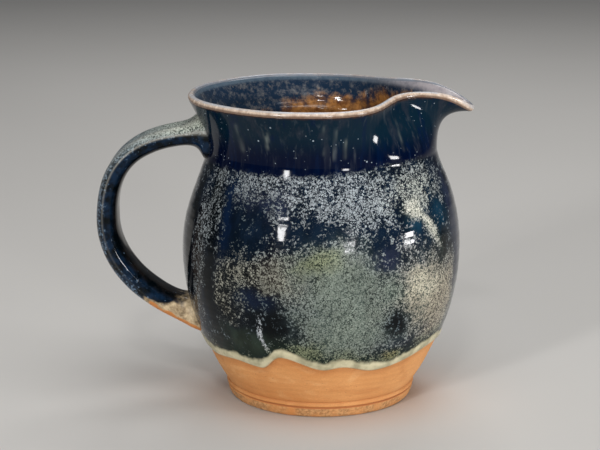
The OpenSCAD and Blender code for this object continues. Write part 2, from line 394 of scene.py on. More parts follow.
class Nodes:
    """Builds one material's node tree. Each method returns an output socket."""

    def __init__(self, name):
        self.material = bpy.data.materials.new(name)
        self.material.use_nodes = True
        self.tree = self.material.node_tree
        self.shader = self.tree.nodes["Principled BSDF"]
        self.place = self.tree.nodes.new("ShaderNodeTexCoord").outputs["Object"]

    def link(self, value, socket):
        if isinstance(value, bpy.types.NodeSocket):
            self.tree.links.new(value, socket)
        elif hasattr(value, "__len__") and len(socket.default_value) == 4:
            socket.default_value = (*value, 1)
        else:
            socket.default_value = value

    def mark(self, name, colour=False):
        node = self.tree.nodes.new("ShaderNodeAttribute")
        node.attribute_name = name
        return node.outputs["Color" if colour else "Fac"]

    def math(self, operation, a, b=0.0):
        node = self.tree.nodes.new("ShaderNodeMath")
        node.operation = operation
        self.link(a, node.inputs[0])
        self.link(b, node.inputs[1])
        return node.outputs[0]

    def scaled(self, scale):
        """Object coordinates times (x, y, z) factors, in features per metre."""
        node = self.tree.nodes.new("ShaderNodeVectorMath")
        node.operation = "MULTIPLY"
        self.link(self.place, node.inputs[0])
        node.inputs[1].default_value = scale
        return node.outputs[0]

    def noise(self, scale, detail=2.0, roughness=0.5, squash=(1, 1, 1), seed=0.0, twist=0.0):
        node = self.tree.nodes.new("ShaderNodeTexNoise")
        node.noise_dimensions = "4D"
        self.link(self.scaled(squash), node.inputs["Vector"])
        node.inputs["W"].default_value = seed
        node.inputs["Scale"].default_value = scale
        node.inputs["Detail"].default_value = detail
        node.inputs["Roughness"].default_value = roughness
        node.inputs["Distortion"].default_value = twist
        return node.outputs["Fac"]

    def wobbled(self, size_mm, reach_mm):
        """Object coordinates pushed about by noise with features about size_mm across."""
        shake = self.tree.nodes.new("ShaderNodeTexNoise")
        self.link(self.place, shake.inputs["Vector"])
        shake.inputs["Scale"].default_value = 1 / (size_mm * MM)
        shake.inputs["Detail"].default_value = 1
        node = self.tree.nodes.new("ShaderNodeVectorMath")
        node.operation = "MULTIPLY_ADD"
        self.link(shake.outputs["Color"], node.inputs[0])
        node.inputs[1].default_value = [2 * reach_mm * MM] * 3
        self.link(self.place, node.inputs[2])
        return node.outputs[0]

    def cells(self, scale, output="Distance", feature="F1", place=None):
        node = self.tree.nodes.new("ShaderNodeTexVoronoi")
        node.feature = feature
        self.link(self.place if place is None else place, node.inputs["Vector"])
        node.inputs["Scale"].default_value = scale
        return node.outputs[output]

    def ramp(self, value, low, high, to_low=0.0, to_high=1.0):
        """value from low to high turned smoothly into to_low to to_high."""
        node = self.tree.nodes.new("ShaderNodeMapRange")
        node.interpolation_type = "SMOOTHSTEP"
        for item, socket in zip((value, low, high, to_low, to_high), node.inputs):
            self.link(item, socket)
        return node.outputs[0]

    def mix(self, factor, a, b, blend="MIX"):
        node = self.tree.nodes.new("ShaderNodeMix")
        node.data_type = "RGBA"
        node.blend_type = blend
        self.link(factor, node.inputs["Factor"])
        colours = [s for s in node.inputs if s.type == "RGBA"]
        self.link(a, colours[0])
        self.link(b, colours[1])
        return next(s for s in node.outputs if s.type == "RGBA")

    def height(self):
        node = self.tree.nodes.new("ShaderNodeSeparateXYZ")
        self.link(self.place, node.inputs[0])
        return node.outputs["Z"]

    def bump(self, height, distance_mm, strength=1.0, under=None):
        node = self.tree.nodes.new("ShaderNodeBump")
        node.inputs["Strength"].default_value = strength
        node.inputs["Distance"].default_value = distance_mm * MM
        self.link(height, node.inputs["Height"])
        if under is not None:
            self.link(under, node.inputs["Normal"])
        return node.outputs["Normal"]

    def finish(self, colour, roughness, normal=None, ior=1.5, **shader):
        self.link(colour, self.shader.inputs["Base Color"])
        self.link(roughness, self.shader.inputs["Roughness"])
        self.shader.inputs["IOR"].default_value = ior
        for name, value in shader.items():
            self.shader.inputs[name.replace("_", " ")].default_value = value
        if normal is not None:
            self.link(normal, self.shader.inputs["Normal"])
        return self.material


# ---------------------------------------------------------------- materials

# Specular level of the dark glazes, low enough that the pale room doesn't wash them out.
GLOSS = 0.14


def crystal_layer(n, cover):
    """Pale crystals about a millimetre across, in clumps, with fine dark gaps between them.
    cover is the share of the surface that is crystals. Returns their mask and their shading."""
    place = n.wobbled(1.2, 0.85)
    gap = n.cells(800, "Distance", "DISTANCE_TO_EDGE", place)
    each = n.cells(800, "Color", "F1", place)
    clumps = n.noise(190, detail=5, roughness=0.72, seed=3)
    breaks = n.noise(640, detail=2, roughness=0.6, seed=8)
    runs = n.noise(170, detail=3, roughness=0.6, squash=(1, 1, 0.14), seed=12)
    cover = n.math("ADD", cover, n.ramp(runs, 0.3, 0.7, -0.09, 0.09))
    field = n.math("ADD", n.math("MULTIPLY", clumps, 0.78), n.math("MULTIPLY", each, 0.22))
    grown = n.ramp(n.math("SUBTRACT", field, n.ramp(cover, 0, 1, 0.66, 0.30)), -0.02, 0.07)
    width = n.math("MULTIPLY", n.ramp(cover, 0.2, 1.0, 0.20, 0.07), n.ramp(breaks, 0.35, 0.62, 0.1, 1.6))
    open_gap = n.ramp(n.math("SUBTRACT", gap, width), -0.05, 0.06)
    mask = n.math("MULTIPLY", grown, open_gap)
    clouds = n.noise(75, detail=4, roughness=0.65, squash=(1, 1, 0.6), seed=17)
    shading = n.math("MULTIPLY", n.ramp(each, 0.1, 0.9, 0.76, 1.14), n.ramp(clouds, 0.3, 0.7, 0.82, 1.14))
    return mask, shading


def coat_material(name, gloss):
    """The outer glaze: cobalt blue on the neck, breaking into pale crystals over the belly."""
    n = Nodes(name)
    crystals, tone = crystal_layer(n, n.mark("cover"))
    grain = n.mix(1, n.mark("grain", True), tone, "MULTIPLY")
    cloudy = n.noise(110, detail=4, roughness=0.6, squash=(1, 1, 0.4), seed=5)
    ground = n.mix(1, n.mark("ground", True), n.ramp(cloudy, 0.35, 0.7, 0.6, 1.5), "MULTIPLY")
    belly = n.mix(crystals, ground, grain)
    dust = n.ramp(n.noise(1500, detail=2, seed=33), 0.56, 0.72, 0, 0.5)
    belly = n.mix(n.math("MULTIPLY", dust, n.ramp(n.mark("cover"), 0.25, 0.7)), belly, grain)

    edge = n.mark("edge")
    torn = n.noise(110, detail=3, roughness=0.6, seed=2)
    ragged = n.math("ADD", edge, n.ramp(torn, 0.3, 0.7, -1.2, 1.2))
    mossy = n.mix(crystals, srgb(20, 32, 25), srgb(112, 118, 92))
    belly = n.mix(n.ramp(ragged, 6.0, 17.0, 0.75, 0.0), belly, mossy)
    belly = n.mix(n.ramp(ragged, 5.8, 7.4, 0.75, 0.0), belly, srgb(34, 44, 34))
    thick = n.ramp(n.noise(130, detail=3, seed=7), 0.35, 0.65)
    roll = n.mix(thick, srgb(158, 152, 124), srgb(202, 194, 162))
    belly = n.mix(n.ramp(ragged, 4.4, 7.2, 1.0, 0.0), belly, roll)
    belly = n.mix(n.ramp(edge, 0.2, 1.5, 0.6, 0.0), belly, srgb(196, 146, 104))

    low = n.mark("low")
    streaks = n.noise(105, detail=4, roughness=0.62, squash=(1, 1, 0.13), seed=21)
    fine = n.noise(420, detail=3, roughness=0.6, squash=(1, 1, 0.12), seed=22)
    neck = n.mix(n.ramp(low, 0.1, 0.95), srgb(8, 30, 44), srgb(0, 8, 34))
    greyed = n.math("MULTIPLY", n.ramp(streaks, 0.50, 0.64, 0, 0.6), n.ramp(low, 0.5, 1, 1, 0.3))
    neck = n.mix(greyed, neck, srgb(42, 46, 56))
    neck = n.mix(n.ramp(streaks, 0.47, 0.36, 0, 0.7), neck, srgb(2, 20, 50))
    neck = n.mix(n.ramp(fine, 0.55, 0.75, 0, 0.30), neck, srgb(84, 90, 96))
    some = n.ramp(n.noise(60, detail=1, seed=30), 0.48, 0.56)
    dots = n.math("MULTIPLY", n.ramp(n.cells(170), 0.06, 0.10, 1, 0), some)
    few = n.ramp(n.noise(90, seed=31), 0.52, 0.58)
    pins = n.math("MULTIPLY", n.ramp(n.cells(400), 0.08, 0.13, 1, 0), few)
    neck = n.mix(n.math("MULTIPLY", n.math("MAXIMUM", dots, pins), 0.7), neck, srgb(170, 184, 194))
    neck = n.mix(n.mark("pale"), neck, srgb(150, 158, 150))
    frayed = n.ramp(n.noise(260, detail=3, seed=26), 0.3, 0.7, -0.4, 0.4)
    broken = n.math("ADD", n.mark("under_lip"), frayed)
    neck = n.mix(n.ramp(broken, 0.3, 2.2, 0.9, 0), neck, srgb(56, 38, 30))

    colour = n.mix(n.mark("speckled"), neck, belly)
    pale = n.math("MULTIPLY", crystals, n.mark("speckled"))
    normal = n.bump(n.noise(60, detail=2, seed=14), 0.25, 0.3)
    normal = n.bump(pale, 0.05, 0.45, normal)
    return n.finish(colour, n.ramp(pale, 0, 1, 0.07, 0.30), normal, Specular_IOR_Level=gloss)


def lip_material():
    """The lip: clay under a thin bloom of glaze and a painted highlight, brown outside and blue inside where
    glazes meet.
    """
    n = Nodes("rim_clay")
    out = n.mark("out")
    patchy = n.noise(330, detail=4, roughness=0.7, seed=41)
    colour = n.mix(n.ramp(patchy, 0.3, 0.7), srgb(172, 146, 126), srgb(226, 206, 186))
    # Pale blue-grey over the lip's top and inner edge: partly a thin bloom of glaze, partly a painted
    # highlight.
    bloom_and_highlight = n.ramp(n.noise(70, detail=3, seed=44), 0.40, 0.60, 0.25, 0.85)
    colour = n.mix(n.math("MULTIPLY", bloom_and_highlight, n.ramp(out, 0.6, 0.1)), colour, srgb(186, 190, 196))
    colour = n.mix(n.ramp(out, 0.62, 0.98, 0, 0.85), colour, srgb(92, 64, 48))
    colour = n.mix(n.ramp(out, -0.5, -0.98, 0, 0.8), colour, srgb(92, 102, 116))
    iron = n.math("MULTIPLY", n.ramp(n.cells(520), 0.12, 0.2, 0.5, 0), n.ramp(patchy, 0.4, 0.55))
    colour = n.mix(iron, colour, srgb(78, 50, 40))
    normal = n.bump(n.noise(420, detail=3, seed=43), 0.08, 0.5)
    return n.finish(colour, n.ramp(patchy, 0.3, 0.7, 0.14, 0.30), normal, Specular_IOR_Level=0.4)


def clay_material():
    """Bare stoneware: warm, sanded, with smears, iron specks and a rubbed foot."""
    n = Nodes("bare_clay")
    warm = n.noise(26, detail=4, roughness=0.5, seed=51)
    colour = n.mix(n.ramp(warm, 0.34, 0.68), srgb(200, 134, 76), srgb(216, 156, 98))
    smears = n.noise(48, detail=3, roughness=0.5, squash=(1, 1, 1.7), seed=52, twist=1.6)
    colour = n.mix(n.ramp(smears, 0.54, 0.70, 0, 0.30), colour, srgb(228, 178, 124))
    colour = n.mix(n.ramp(smears, 0.44, 0.30, 0, 0.30), colour, srgb(182, 112, 60))
    grit = n.ramp(n.noise(1900, detail=2, seed=53), 0.35, 0.65, 0.92, 1.05)
    colour = n.mix(1, colour, grit, "MULTIPLY")
    some = n.ramp(n.noise(70, seed=56), 0.5, 0.6)
    specks = n.math("MULTIPLY", n.ramp(n.cells(330), 0.07, 0.12, 1, 0), some)
    colour = n.mix(n.math("MULTIPLY", specks, 0.5), colour, srgb(96, 62, 40))
    scuffs = n.ramp(n.noise(620, detail=3, roughness=0.7, seed=57), 0.36, 0.62)
    rubbed = n.mix(scuffs, srgb(150, 106, 66), srgb(200, 152, 102))
    colour = n.mix(n.mark("wear_and_highlight"), colour, rubbed)
    # Darker orange: painted shade in the foot's groove and where the wall meets the foot, and a darker band
    # under the glaze's edge.
    colour = n.mix(n.mark("shade_and_dark_band"), colour, srgb(150, 84, 42))
    sand = n.noise(2600, detail=2, roughness=0.6, seed=54)
    normal = n.bump(n.noise(240, detail=3, seed=55), 0.12, 0.4)
    normal = n.bump(n.math("SUBTRACT", sand, n.math("MULTIPLY", specks, 0.8)), 0.08, 0.6, normal)
    return n.finish(colour, n.ramp(warm, 0.3, 0.7, 0.62, 0.78), normal, Specular_IOR_Level=0.3)


def slip_material():
    """The joints' slip: clay at the belly, stained dark under the neck's glaze."""
    n = Nodes("slip")
    smear = n.noise(160, detail=4, squash=(1, 1, 0.4), seed=61)
    colour = n.mix(smear, srgb(150, 98, 62), srgb(188, 138, 94))
    colour = n.mix(n.ramp(n.height(), 0.08, 0.12), colour, srgb(26, 26, 28))
    normal = n.bump(n.noise(900, detail=2, seed=62), 0.1, 0.6)
    return n.finish(colour, n.ramp(smear, 0.3, 0.7, 0.6, 0.8), normal)


def liner_material():
    """The glaze inside: amber below, mottled blue above, paler where it thins at the lip."""
    n = Nodes("liner_glaze")
    depth = n.mark("depth")
    runs = n.noise(60, detail=4, roughness=0.6, squash=(1, 1, 0.5), seed=71)
    mottle = n.noise(240, detail=4, roughness=0.7, seed=72)
    amber = n.mix(n.ramp(mottle, 0.3, 0.7), srgb(104, 62, 30), srgb(186, 130, 72))
    amber = n.mix(n.ramp(runs, 0.46, 0.68, 0, 0.8), amber, srgb(58, 38, 30))
    dark = n.mix(n.ramp(mottle, 0.46, 0.68), srgb(24, 44, 66), srgb(98, 100, 104))
    level = n.math("ADD", depth, n.math("ADD", n.ramp(runs, 0.3, 0.7, 4, -4), n.mark("blue_side")))
    level = n.math("ADD", level, n.ramp(mottle, 0.3, 0.7, -2, 2))
    colour = n.mix(n.ramp(level, 5.0, 13.0), dark, amber)
    breaking = n.math("MULTIPLY", n.mark("breaking"), n.ramp(mottle, 0.25, 0.6, 0.55, 1.0))
    colour = n.mix(breaking, colour, n.mix(n.mark("blush"), srgb(84, 100, 114), srgb(168, 160, 162)))
    colour = n.mix(n.mark("pool"), colour, srgb(40, 22, 14))
    # Pale flecks, partly small crystals and partly painted glints.
    pale = n.math("MULTIPLY", n.ramp(n.noise(520, detail=3, seed=75), 0.62, 0.72), 0.3)
    colour = n.mix(pale, colour, srgb(160, 150, 134))
    normal = n.bump(mottle, 0.16, 0.7)
    return n.finish(colour, n.ramp(mottle, 0.3, 0.8, 0.06, 0.16), normal, Specular_IOR_Level=0.5)


def handle_material():
    """The strap's glaze, frosted near the neck and washed thin over bare clay at the belly."""
    n = Nodes("handle_glaze")
    crystals, tone = crystal_layer(n, n.mark("cover"))
    streak = n.noise(150, detail=3, roughness=0.6, seed=82)
    ground = n.mix(n.ramp(streak, 0.35, 0.65), srgb(3, 8, 12), n.mark("ground", True))
    colour = n.mix(crystals, ground, n.mix(1, n.mark("grain", True), tone, "MULTIPLY"))
    ragged = n.math("ADD", n.mark("bare"), n.ramp(n.noise(170, detail=4, seed=85), 0.3, 0.7, -0.22, 0.22))
    patchy = n.ramp(n.noise(210, detail=4, roughness=0.7, seed=86), 0.3, 0.7)
    wash = n.mix(patchy, srgb(128, 108, 82), srgb(214, 192, 156))
    colour = n.mix(n.ramp(ragged, 0.30, 0.70), colour, wash)
    colour = n.mix(n.ramp(ragged, 0.95, 1.25), colour, srgb(200, 130, 72))
    # Painted highlight: a pale line along the strap's near ridge and arris.
    colour = n.mix(n.mark("ridge_highlight"), colour, srgb(164, 160, 150))
    rough = n.math("ADD", n.ramp(crystals, 0, 1, 0.10, 0.28), n.ramp(ragged, 0.4, 1.0, 0.0, 0.3))
    normal = n.bump(n.noise(60, detail=2, seed=88), 0.3, 0.35)
    return n.finish(colour, rough, n.bump(crystals, 0.05, 0.5, normal), Specular_IOR_Level=GLOSS)


# ---------------------------------------------------------------- pieces

def foot_piece(material):
    """The turned foot ring, with rounded arrises, a fine groove and a rubbed resting edge."""
    outline = np.array([
        (FOOT_INNER_R, 1.2), (42.4, 0.4), (43.2, 0.0), (46, 0), (47.3, 0.0), (48.3, 0.3), (49.2, 1.1),
        (49.9, 2.3), (50.4, 3.7), (50.7, 4.9), (50.7, 5.4), (50.4, 5.75), (50.35, GROOVE_Z),
        (50.55, 6.35), (51.05, 6.6), (51.2, 7.1), (51.15, 7.8), (50.9, 8.4), (50.55, FOOT_H),
        (46, FOOT_H), (46, FLOOR_UNDER_Z), (FOOT_INNER_R, FLOOR_UNDER_Z)])
    closed = np.vstack([outline, outline[:1]])
    steps = 6
    t = np.arange(0, len(outline), 1 / steps)
    loop = np.stack([np.interp(t, np.arange(len(closed)), closed[:, k]) for k in (0, 1)], -1)
    a = angles()
    rows = np.repeat(loop[:, None, :], COLUMNS, 1)
    turning = smoothstep(48.5, 50, rows[..., 0]) * smoothstep(0.0, 0.5, rows[..., 1])
    points = wrap(rows, a)
    chatter = soft_noise(points, 5, 7) * 0.12 + soft_noise(points, 17, 3) * 0.15
    wander = 0.25 * np.sin(np.radians(a) * 2 + 1)
    groove = np.exp(-((rows[..., 1] - GROOVE_Z - wander) / 0.5) ** 2) * smoothstep(49.8, 50.2, rows[..., 0])
    rows[..., 0] -= turning * (0.12 + np.abs(chatter))
    marks = {
        "wear_and_highlight": np.clip(smoothstep(5.6, 4.8, rows[..., 1]) * (0.75 + soft_noise(points, 6, 5)), 0, 1),
        # Painted shade in the groove and at the top of the foot, where the wall meets it.
        "shade_and_dark_band": np.clip(groove, 0, 0.8) + 0.25 * smoothstep(7.2, FOOT_H, rows[..., 1]),
    }
    return add_piece(skin("foot", wrap(rows, a), True, marks), material, "bare_clay", "foot_ring")


def belly_rows(heights, offset):
    """Rows of (radius, height) on the belly at (rows, columns) heights, moved outwards by offset."""
    out, up = profile_normal(heights)
    return np.stack([outer_radius(heights) + out * offset, heights + up * offset], -1)


def clay_offset(z):
    """Depth of the clay under the measured outside: none at the foot, the glaze's thickness above it."""
    return -GLAZE_T * smoothstep(FOOT_H + 6, FOOT_H + 22, z)


def clay_wall_piece(material):
    """Thrown floor and belly. Its outside shows only below the glaze."""
    a = angles()
    z = np.concatenate([np.linspace(FOOT_H, 42, 70), np.linspace(46, NECK_Z, 24)])
    z = np.repeat(z[:, None], COLUMNS, 1)
    outside = belly_rows(z, clay_offset(z))
    points = wrap(outside, a)
    trimming = 0.06 * np.sin(2 * math.pi * z / 3.1 + np.radians(a) + soft_noise(points, 25, 9) * 2)
    fingers = soft_noise(points, 14, 20) * 0.2
    shown = smoothstep(FOOT_H + 0.5, FOOT_H + 3, z) * smoothstep(48, 38, z)
    outside[..., 0] += shown * (trimming + fingers - 0.1)
    inner = CAVITY[::-8]
    inside = np.repeat(inner[:, None, :], COLUMNS, 1)
    centre = np.array([(20, FLOOR_Z), (4, FLOOR_Z)])
    under = np.array([(4, FLOOR_UNDER_Z), (24, FLOOR_UNDER_Z), (46, FLOOR_UNDER_Z), (46, FOOT_H)])
    rows = np.concatenate([np.repeat(under[:, None, :], COLUMNS, 1), outside, inside,
                           np.repeat(centre[:, None, :], COLUMNS, 1)])
    height = rows[..., 1]
    # A darker band just under the glaze's edge, and painted shade in the corner where the wall meets the
    # foot.
    shade_and_dark_band = 0.3 * smoothstep(5, 0.5, glaze_line(a)[None, :] - height)
    shade_and_dark_band += 0.25 * np.exp(-((height - FOOT_H) / 1.6) ** 2)
    piece = skin("clay_wall", wrap(rows, a), False, {"wear_and_highlight": 0 * shade_and_dark_band, "shade_and_dark_band": shade_and_dark_band})
    return add_piece(piece, material, "bare_clay", "body_wall")


def neck_clay_piece(material):
    """Clay of the neck and the spout. Only its round lip shows, between the two glazes."""
    a = angles()
    half = LIP_R
    bend = np.linspace(0, math.pi, 25)
    along, across = lip_directions(a)
    round_lip = np.cos(bend)[:, None, None] * across + np.sin(bend)[:, None, None] * along
    lip = lip_middle(a) + half * round_lip
    outside = neck_wall(a, 1, NECK_R - GLAZE_T, half - 0.08, np.linspace(0, 1, 30))[:-1]
    inside = neck_wall(a, -1, THROAT_R, half - 0.08, np.linspace(1, 0, 30))[1:]
    rows = np.concatenate([outside, lip, inside])
    out = np.concatenate([np.ones(len(outside)), np.cos(bend), -np.ones(len(inside))])
    out = np.repeat(out[:, None], COLUMNS, 1)
    piece = skin("neck_clay", wrap(rows, a), True, {"out": out})
    return add_piece(piece, material, "rim_clay", "neck_and_spout")


def neck_boundary(angle):
    """Height where the neck's blue glaze gives way to crystals."""
    return 130.6 + 5.6 * bump(angle, -45, 32) + 2.5 * bump(angle, 60, 40)


def neck_share(points, a, z):
    """How much of the surface is the neck's blue, from 0 in the crystals to 1."""
    ragged = soft_noise(points, 6, 60) * 1.2 + soft_noise(points, 2.2, 66) * 0.8
    return smoothstep(-1.6, 1.6, z - neck_boundary(a) + ragged)


# The pale drip left of the middle, as (height, angle).
DRIP = [(37.5, -110), (40, -113.5), (47, -116), (61, -115.5)]

# Height gained for each millimetre along the wall, just above the foot.
RISE = 0.86

# Pale runs down the neck: (angle, half width in degrees, lower end, upper end, strength).
NECK_RUNS = [
    (-115, 0.9, 143, 157, 1.0), (-130, 1.1, 140, 158, 0.16), (-89, 0.7, 141, 160, 0.14),
    (-84, 0.6, 138, 158, 0.35), (-79, 0.7, 139, 152, 0.3), (-46, 0.8, 140, 158, 0.2),
    (40, 1.0, 142, 158, 0.5), (120, 1.0, 140, 160, 0.4)]


def coat_marks(points, a, z, edge, under_lip):
    """The named values that the outer glaze's material needs, for the belly or the neck."""
    cover, grain, ground = cloud_marks(points, a, z)
    drip = np.exp(-(turned(a - look_up(DRIP, z)) / 1.3) ** 2) * smoothstep(66, 48, z) * smoothstep(30, 34, z)
    cover = cover + (0.85 - cover) * drip
    grain = grain + (srgb(196, 200, 204) - grain) * drip[..., None]
    pale = 0 * z
    for middle, width, low, high, strength in NECK_RUNS:
        ends = smoothstep(low, low + 3, z) * smoothstep(high, high - 4, z)
        pale = pale + strength * np.exp(-(turned(a - middle) / width) ** 2) * ends
    return {
        "cover": cover,
        "grain": grain,
        "ground": ground,
        "edge": edge,
        "low": smoothstep(158, NECK_Z - 2, z),
        "under_lip": under_lip,
        "pale": pale * np.clip(0.6 + soft_noise(points * [1, 1, 0.25], 2.5, 90) * 1.5, 0, 1),
        "speckled": 1 - neck_share(points, a, z),
    }


def belly_coat_piece(material):
    """Outer glaze on the belly, from its thick rolled edge up to just inside the neck's coat."""
    a = angles()
    line = glaze_line(a)
    t = np.linspace(0, 1, 170)[:, None] ** 1.35
    top = NECK_Z + 0.6
    z = line + (top - line) * t
    edge = (z - line) / RISE
    roll = GLAZE_T + 0.5 * np.exp(-((edge - 3.0) / 2.2) ** 2)
    rounded = np.sqrt(1 - (1 - np.clip(edge / 1.8, 0, 1)) ** 2)
    points = wrap(belly_rows(z, 0 * z), a)
    lumps = soft_noise(points, 11, 31) * 0.12 + soft_noise(points * [1, 1, 0.3], 5, 33) * 0.05
    settled = smoothstep(1, 8, edge) * smoothstep(NECK_Z - 1, NECK_Z - 8, z)
    relief = clay_offset(z) + (roll + 0.12 * (1 - settled)) * rounded
    relief += settled * (throwing_marks(z, a) * 0.3 - 0.12 + lumps)
    relief = np.minimum(relief, 0.45)
    near_top = smoothstep(NECK_Z - 6, NECK_Z, z)
    relief = relief * (1 - near_top) - 0.08 * near_top
    outside = belly_rows(z, relief)
    back = np.linspace(1, 0, 12)[:, None]
    under_z = line + 0.3 + (top - line - 0.3) * back
    under = belly_rows(under_z, clay_offset(under_z) - 0.05)
    rows = np.concatenate([outside, under])
    z = rows[..., 1]
    points = wrap(rows, a)
    piece = skin("belly_coat", points, True, coat_marks(points, a, z, (z - line) / RISE, 0 * z + 30))
    return add_piece(piece, material, "speckled_glaze", "belly_glaze")


def neck_coat_piece(material):
    """Blue glaze on the outside of the neck and the spout. It sinks gently into the belly's coat."""
    a = angles()
    lap_z = np.repeat(np.linspace(NECK_Z - 5, NECK_Z, 9)[:-1, None], COLUMNS, 1)
    lap = belly_rows(lap_z, -0.32 * smoothstep(NECK_Z + 1, NECK_Z - 5, lap_z))
    wall = neck_wall(a, 1, NECK_R, LIP_R, np.linspace(0, 1, 46))
    outside = np.concatenate([lap, wall])
    under_wall = neck_wall(a, 1, NECK_R - GLAZE_T, LIP_R - 0.1, np.linspace(1, 0, 10))
    under_lap = belly_rows(lap_z[::-3], 0 * lap_z[::-3] - 0.6)
    rows = np.concatenate([outside, under_wall, under_lap])
    points = wrap(rows, a)
    z = rows[..., 1]
    piece = skin("neck_coat", points, True, coat_marks(points, a, z, 0 * z + 90, lip_middle(a)[:, 1] - z))
    return add_piece(piece, material, "cobalt_glaze", "neck_glaze")


def liner_piece(material):
    """Glaze poured over the floor and the inside, with throwing ridges showing through it."""
    a = angles()
    cavity = CAVITY.copy()
    cavity[:, 0] -= LINER_T * smoothstep(FLOOR_R, FLOOR_R + 10, cavity[:, 0])
    cavity[:, 1] += LINER_T * smoothstep(60, 30, cavity[:, 1])
    floor = np.stack([np.linspace(3, FLOOR_R - 2, 14), np.full(14, FLOOR_Z + LINER_T)], -1)
    inside = np.concatenate([floor, cavity])
    inside = np.repeat(inside[:, None, :], COLUMNS, 1)
    wall = neck_wall(a, -1, THROAT_R - LINER_T, LIP_R, np.linspace(0, 1, 40))[1:]
    back_wall = neck_wall(a, -1, THROAT_R, LIP_R - 0.1, np.linspace(1, 0, 10))
    back = np.repeat(CAVITY[::-10][:, None, :], COLUMNS, 1)
    under = np.repeat(np.array([(20, FLOOR_Z), (3, FLOOR_Z)])[:, None, :], COLUMNS, 1)
    shown = np.concatenate([inside, wall])
    z = shown[..., 1]
    ridges = 0.35 * np.sin(2 * math.pi * z / 7.5 - np.radians(a)) + 0.1 * np.sin(2 * math.pi * z / 3.3)
    shown[..., 0] -= (0.2 + ridges) * smoothstep(FLOOR_Z + 4, FLOOR_Z + 12, z) * smoothstep(158, 146, z)
    rows = np.concatenate([shown, back_wall, back, under])
    z = rows[..., 1]
    marks = {
        "depth": lip_middle(a)[:, 1] - z,
        "blue_side": np.broadcast_to(-12 * np.exp(-(turned(a - 138) / 42) ** 2), z.shape),
        "breaking": smoothstep(1.8 + 3.6 * bump(a, 5, 34), 0.3, lip_middle(a)[:, 1] - z),
        "blush": np.broadcast_to(bump(a, 5, 36), z.shape),
        "pool": smoothstep(FLOOR_Z + 5, FLOOR_Z, z) * 0.7,
    }
    piece = skin("liner_coat", wrap(rows, a), False, marks)
    return add_piece(piece, material, "liner_glaze", "liner_glaze")


# ---------------------------------------------------------------- handle

# Points (x, z) of the strap's middle line: on the neck, furthest from the axis, and on the belly.
HANDLE_TOP = (-60.0, 142.0)
HANDLE_BACK = (-115.0, 95.0)
HANDLE_LOW = (-64.0, 41.0)
# How far each end runs on into the wall.
BURIED = 5.5
# Depth of the strap outside and inside its middle line, as (share of its length, depth).
STRAP_OUTSIDE = [(0, 5.9), (0.12, 5.6), (0.4, 5.0), (0.55, 5.4), (0.75, 6.3), (1, 5.2)]
STRAP_INSIDE = [(0, 5.0), (0.2, 5.9), (0.5, 6.3), (0.8, 6.2), (1, 5.6)]


def handle_line(steps=120):
    """Evenly spaced points (x, z) of the handle's middle line, their normals, and each one's distance
    from the two ends. The line starts and ends inside the wall, so that the roots are buried."""
    t = np.linspace(0, 1, 200)
    top, back, low = HANDLE_TOP, HANDLE_BACK, HANDLE_LOW
    upper = bezier(top, (top[0] - 38, top[1] + 1), (back[0] - 1, back[1] + 33), back, t)
    lower = bezier(back, (back[0] + 0.5, back[1] - 20), (low[0] - 35, low[1] + 14), low, t)
    start = (top[0] + BURIED, top[1])
    end = (low[0] + BURIED * 0.93, low[1] - BURIED * 0.37)
    path = np.vstack([[start], upper, lower[1:], [end]])
    walked = np.concatenate([[0], np.cumsum(np.linalg.norm(np.diff(path, axis=0), axis=1))])
    even = np.linspace(0, walked[-1], steps)
    points = np.stack([np.interp(even, walked, path[:, k]) for k in (0, 1)], -1)
    way = np.gradient(points, axis=0)
    way /= np.linalg.norm(way, axis=1)[:, None]
    normals = np.stack([way[:, 1], -way[:, 0]], -1)
    return points, normals, even - BURIED, walked[-1] - even - BURIED


def handle_rows(shrink=0.0, steps=120, columns=96):
    """The strap, as rows round its section. Its ends run a little way into the wall of the pitcher."""
    points, normals, start, finish = handle_line(steps)
    u = np.arange(columns) * 2 * math.pi / columns
    through = np.sign(np.cos(u)) * np.abs(np.cos(u)) ** 0.8
    sideways = np.sign(np.sin(u)) * np.abs(np.sin(u)) ** 0.7
    share = start / (start + finish)
    top_root = np.exp(-np.clip(start - 5, 0, None) / 3.8)
    top_fillet = np.exp(-np.clip(start - 2.3, 0, None) / 2.6)
    low_root = np.exp(-np.clip(finish - 4, 0, None) / 6.0)
    low_fillet = np.exp(-np.clip(finish - 6, 0, None) / 5.5)
    outer = look_up(STRAP_OUTSIDE, share) + 7.0 * top_root + 1.0 * low_root
    inner = look_up(STRAP_INSIDE, share) + 7.5 * top_fillet + 10 * low_fillet
    half_w = STRAP_HALF_W + 3.0 * top_root + 3.5 * top_fillet + 3.0 * low_root
    calm = 1 - np.clip(top_root + low_root, 0, 1)
    ridge = 0.65 * np.exp(-((np.abs(sideways) - 0.74) / 0.14) ** 2) - 0.5 * np.exp(-(sideways / 0.4) ** 2)
    ridge = np.where(through > 0, ridge, 0) * np.abs(through)
    depth = np.where(through > 0, outer[:, None], inner[:, None]) - shrink
    lift = through * depth + ridge * calm[:, None] * 0.9
    across = sideways * (half_w[:, None] - shrink)
    x = points[:, 0, None] + normals[:, 0, None] * lift
    z = points[:, 1, None] + normals[:, 1, None] * lift
    rows = np.stack([x, across, z], -1)
    return rows, through, sideways, start, finish


def keep_outside(rows, sink):
    """Moves points that lie deeper than sink in the pitcher's wall out to that depth, along X."""
    z = rows[..., 2]
    neck = neck_wall(np.array([180.0]), 1, NECK_R, LIP_R, np.linspace(0, 1, 60))[:, 0]
    outline = np.vstack([OUTER, neck[1:]])
    radius = np.interp(z, outline[:, 1], outline[:, 0]) - sink
    limit = lean(z) - np.sqrt(np.clip(radius ** 2 - rows[..., 1] ** 2, 0, None))
    rows[..., 0] = np.minimum(rows[..., 0], limit)
    return rows


